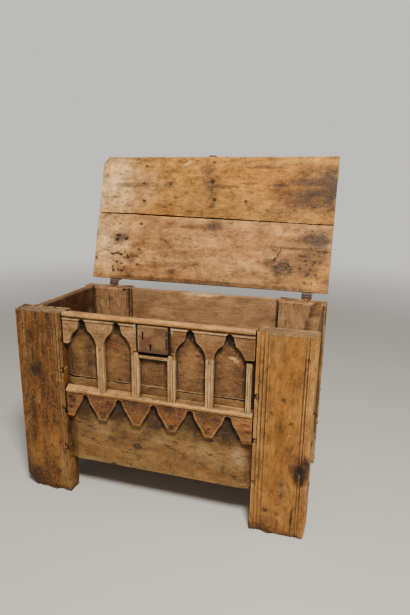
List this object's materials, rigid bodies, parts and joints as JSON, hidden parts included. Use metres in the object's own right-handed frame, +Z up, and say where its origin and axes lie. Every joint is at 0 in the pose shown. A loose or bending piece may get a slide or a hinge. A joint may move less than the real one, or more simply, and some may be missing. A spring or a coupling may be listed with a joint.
{
  "type": "coffer chest",
  "caption": "Oak coffer on four broad stile feet, with a carved ogee arcade and pendants on the front, an iron hasp lock and a hinged plank lid thrown back.",
  "frame": {"origin": "on the floor, under the middle of the outline of the chest with its lid thrown back", "axes": "+Z up, -Y towards the carved front, +X to the right as seen from the front"},
  "size_m": [1.002, 0.7148, 1.194],
  "materials": {
    "oak_stiles": "worn waxed oak, matt",
    "oak_boards": "worn waxed oak, matt",
    "oak_lid": "worn waxed oak, matt",
    "oak_ornament": "worn carved oak, matt",
    "oak_pegs": "dark end grain",
    "wrought_iron": "forged, brown rust patina"
  },
  "bodies": {
    "chest": {"arcade_head_left": "oak_ornament", "arcade_head_right": "oak_ornament", "back_board_lower": "oak_boards", "back_board_upper": "oak_boards", "back_pegs": "oak_pegs", "bead_moulding": "oak_ornament", "bolt_guides": "wrought_iron", "bottom_board_1": "oak_boards", "bottom_board_2": "oak_boards", "bottom_board_3": "oak_boards", "bottom_board_4": "oak_boards", "bottom_board_5": "oak_boards", "colonnette_1": "oak_ornament", "colonnette_2": "oak_ornament", "colonnette_3": "oak_ornament", "colonnette_4": "oak_ornament", "colonnette_5": "oak_ornament", "end_board_left_lower": "oak_boards", "end_board_left_upper": "oak_boards", "end_board_right_lower": "oak_boards", "end_board_right_upper": "oak_boards", "end_pegs_left": "oak_pegs", "end_pegs_right": "oak_pegs", "front_board_lower": "oak_boards", "front_board_upper": "oak_boards", "front_pegs": "oak_pegs", "hinge_leaf_left": "wrought_iron", "hinge_leaf_nails": "wrought_iron", "hinge_leaf_right": "wrought_iron", "hinge_pin_left": "wrought_iron", "hinge_pin_right": "wrought_iron", "key_pin": "wrought_iron", "lock_nails": "wrought_iron", "lock_plate": "wrought_iron", "lock_spring": "wrought_iron", "ornament_nails": "wrought_iron", "pendant_frieze": "oak_ornament", "rail_under_lock": "oak_ornament", "sill_moulding": "oak_ornament", "stile_back_left": "oak_stiles", "stile_back_right": "oak_stiles", "stile_front_left": "oak_stiles", "stile_front_right": "oak_stiles"},
    "lid": {"lid_board_rear": "oak_lid", "lid_board_front": "oak_lid", "lid_dowels": "oak_pegs", "hinge_strap_left": "wrought_iron", "hinge_strap_right": "wrought_iron", "hinge_strap_nails": "wrought_iron", "hasp_strap": "wrought_iron", "hasp_pin": "wrought_iron", "hasp_strap_nails": "wrought_iron"},
    "hasp": {"hasp_plate": "wrought_iron", "hasp_staple": "wrought_iron"},
    "bolt": {"lock_bolt": "wrought_iron"}
  },
  "joints": [
    {"name": "lid_hinge", "type": "hinge", "parent": "chest", "child": "lid", "pos_m": [0, 0.15958, 0.675], "axis": [1, 0, 0], "range_deg": [0, 106.5]},
    {"name": "hasp_hinge", "type": "hinge", "parent": "lid", "child": "hasp", "pos_m": [-0.012, 0.34071, 1.18845], "axis": [1, 0, 0], "range_deg": [-2, 271.7]},
    {"name": "bolt_slide", "type": "slide", "parent": "chest", "child": "bolt", "axis": [-1, 0, 0], "range_m": [0, 0.014]}
  ]
}
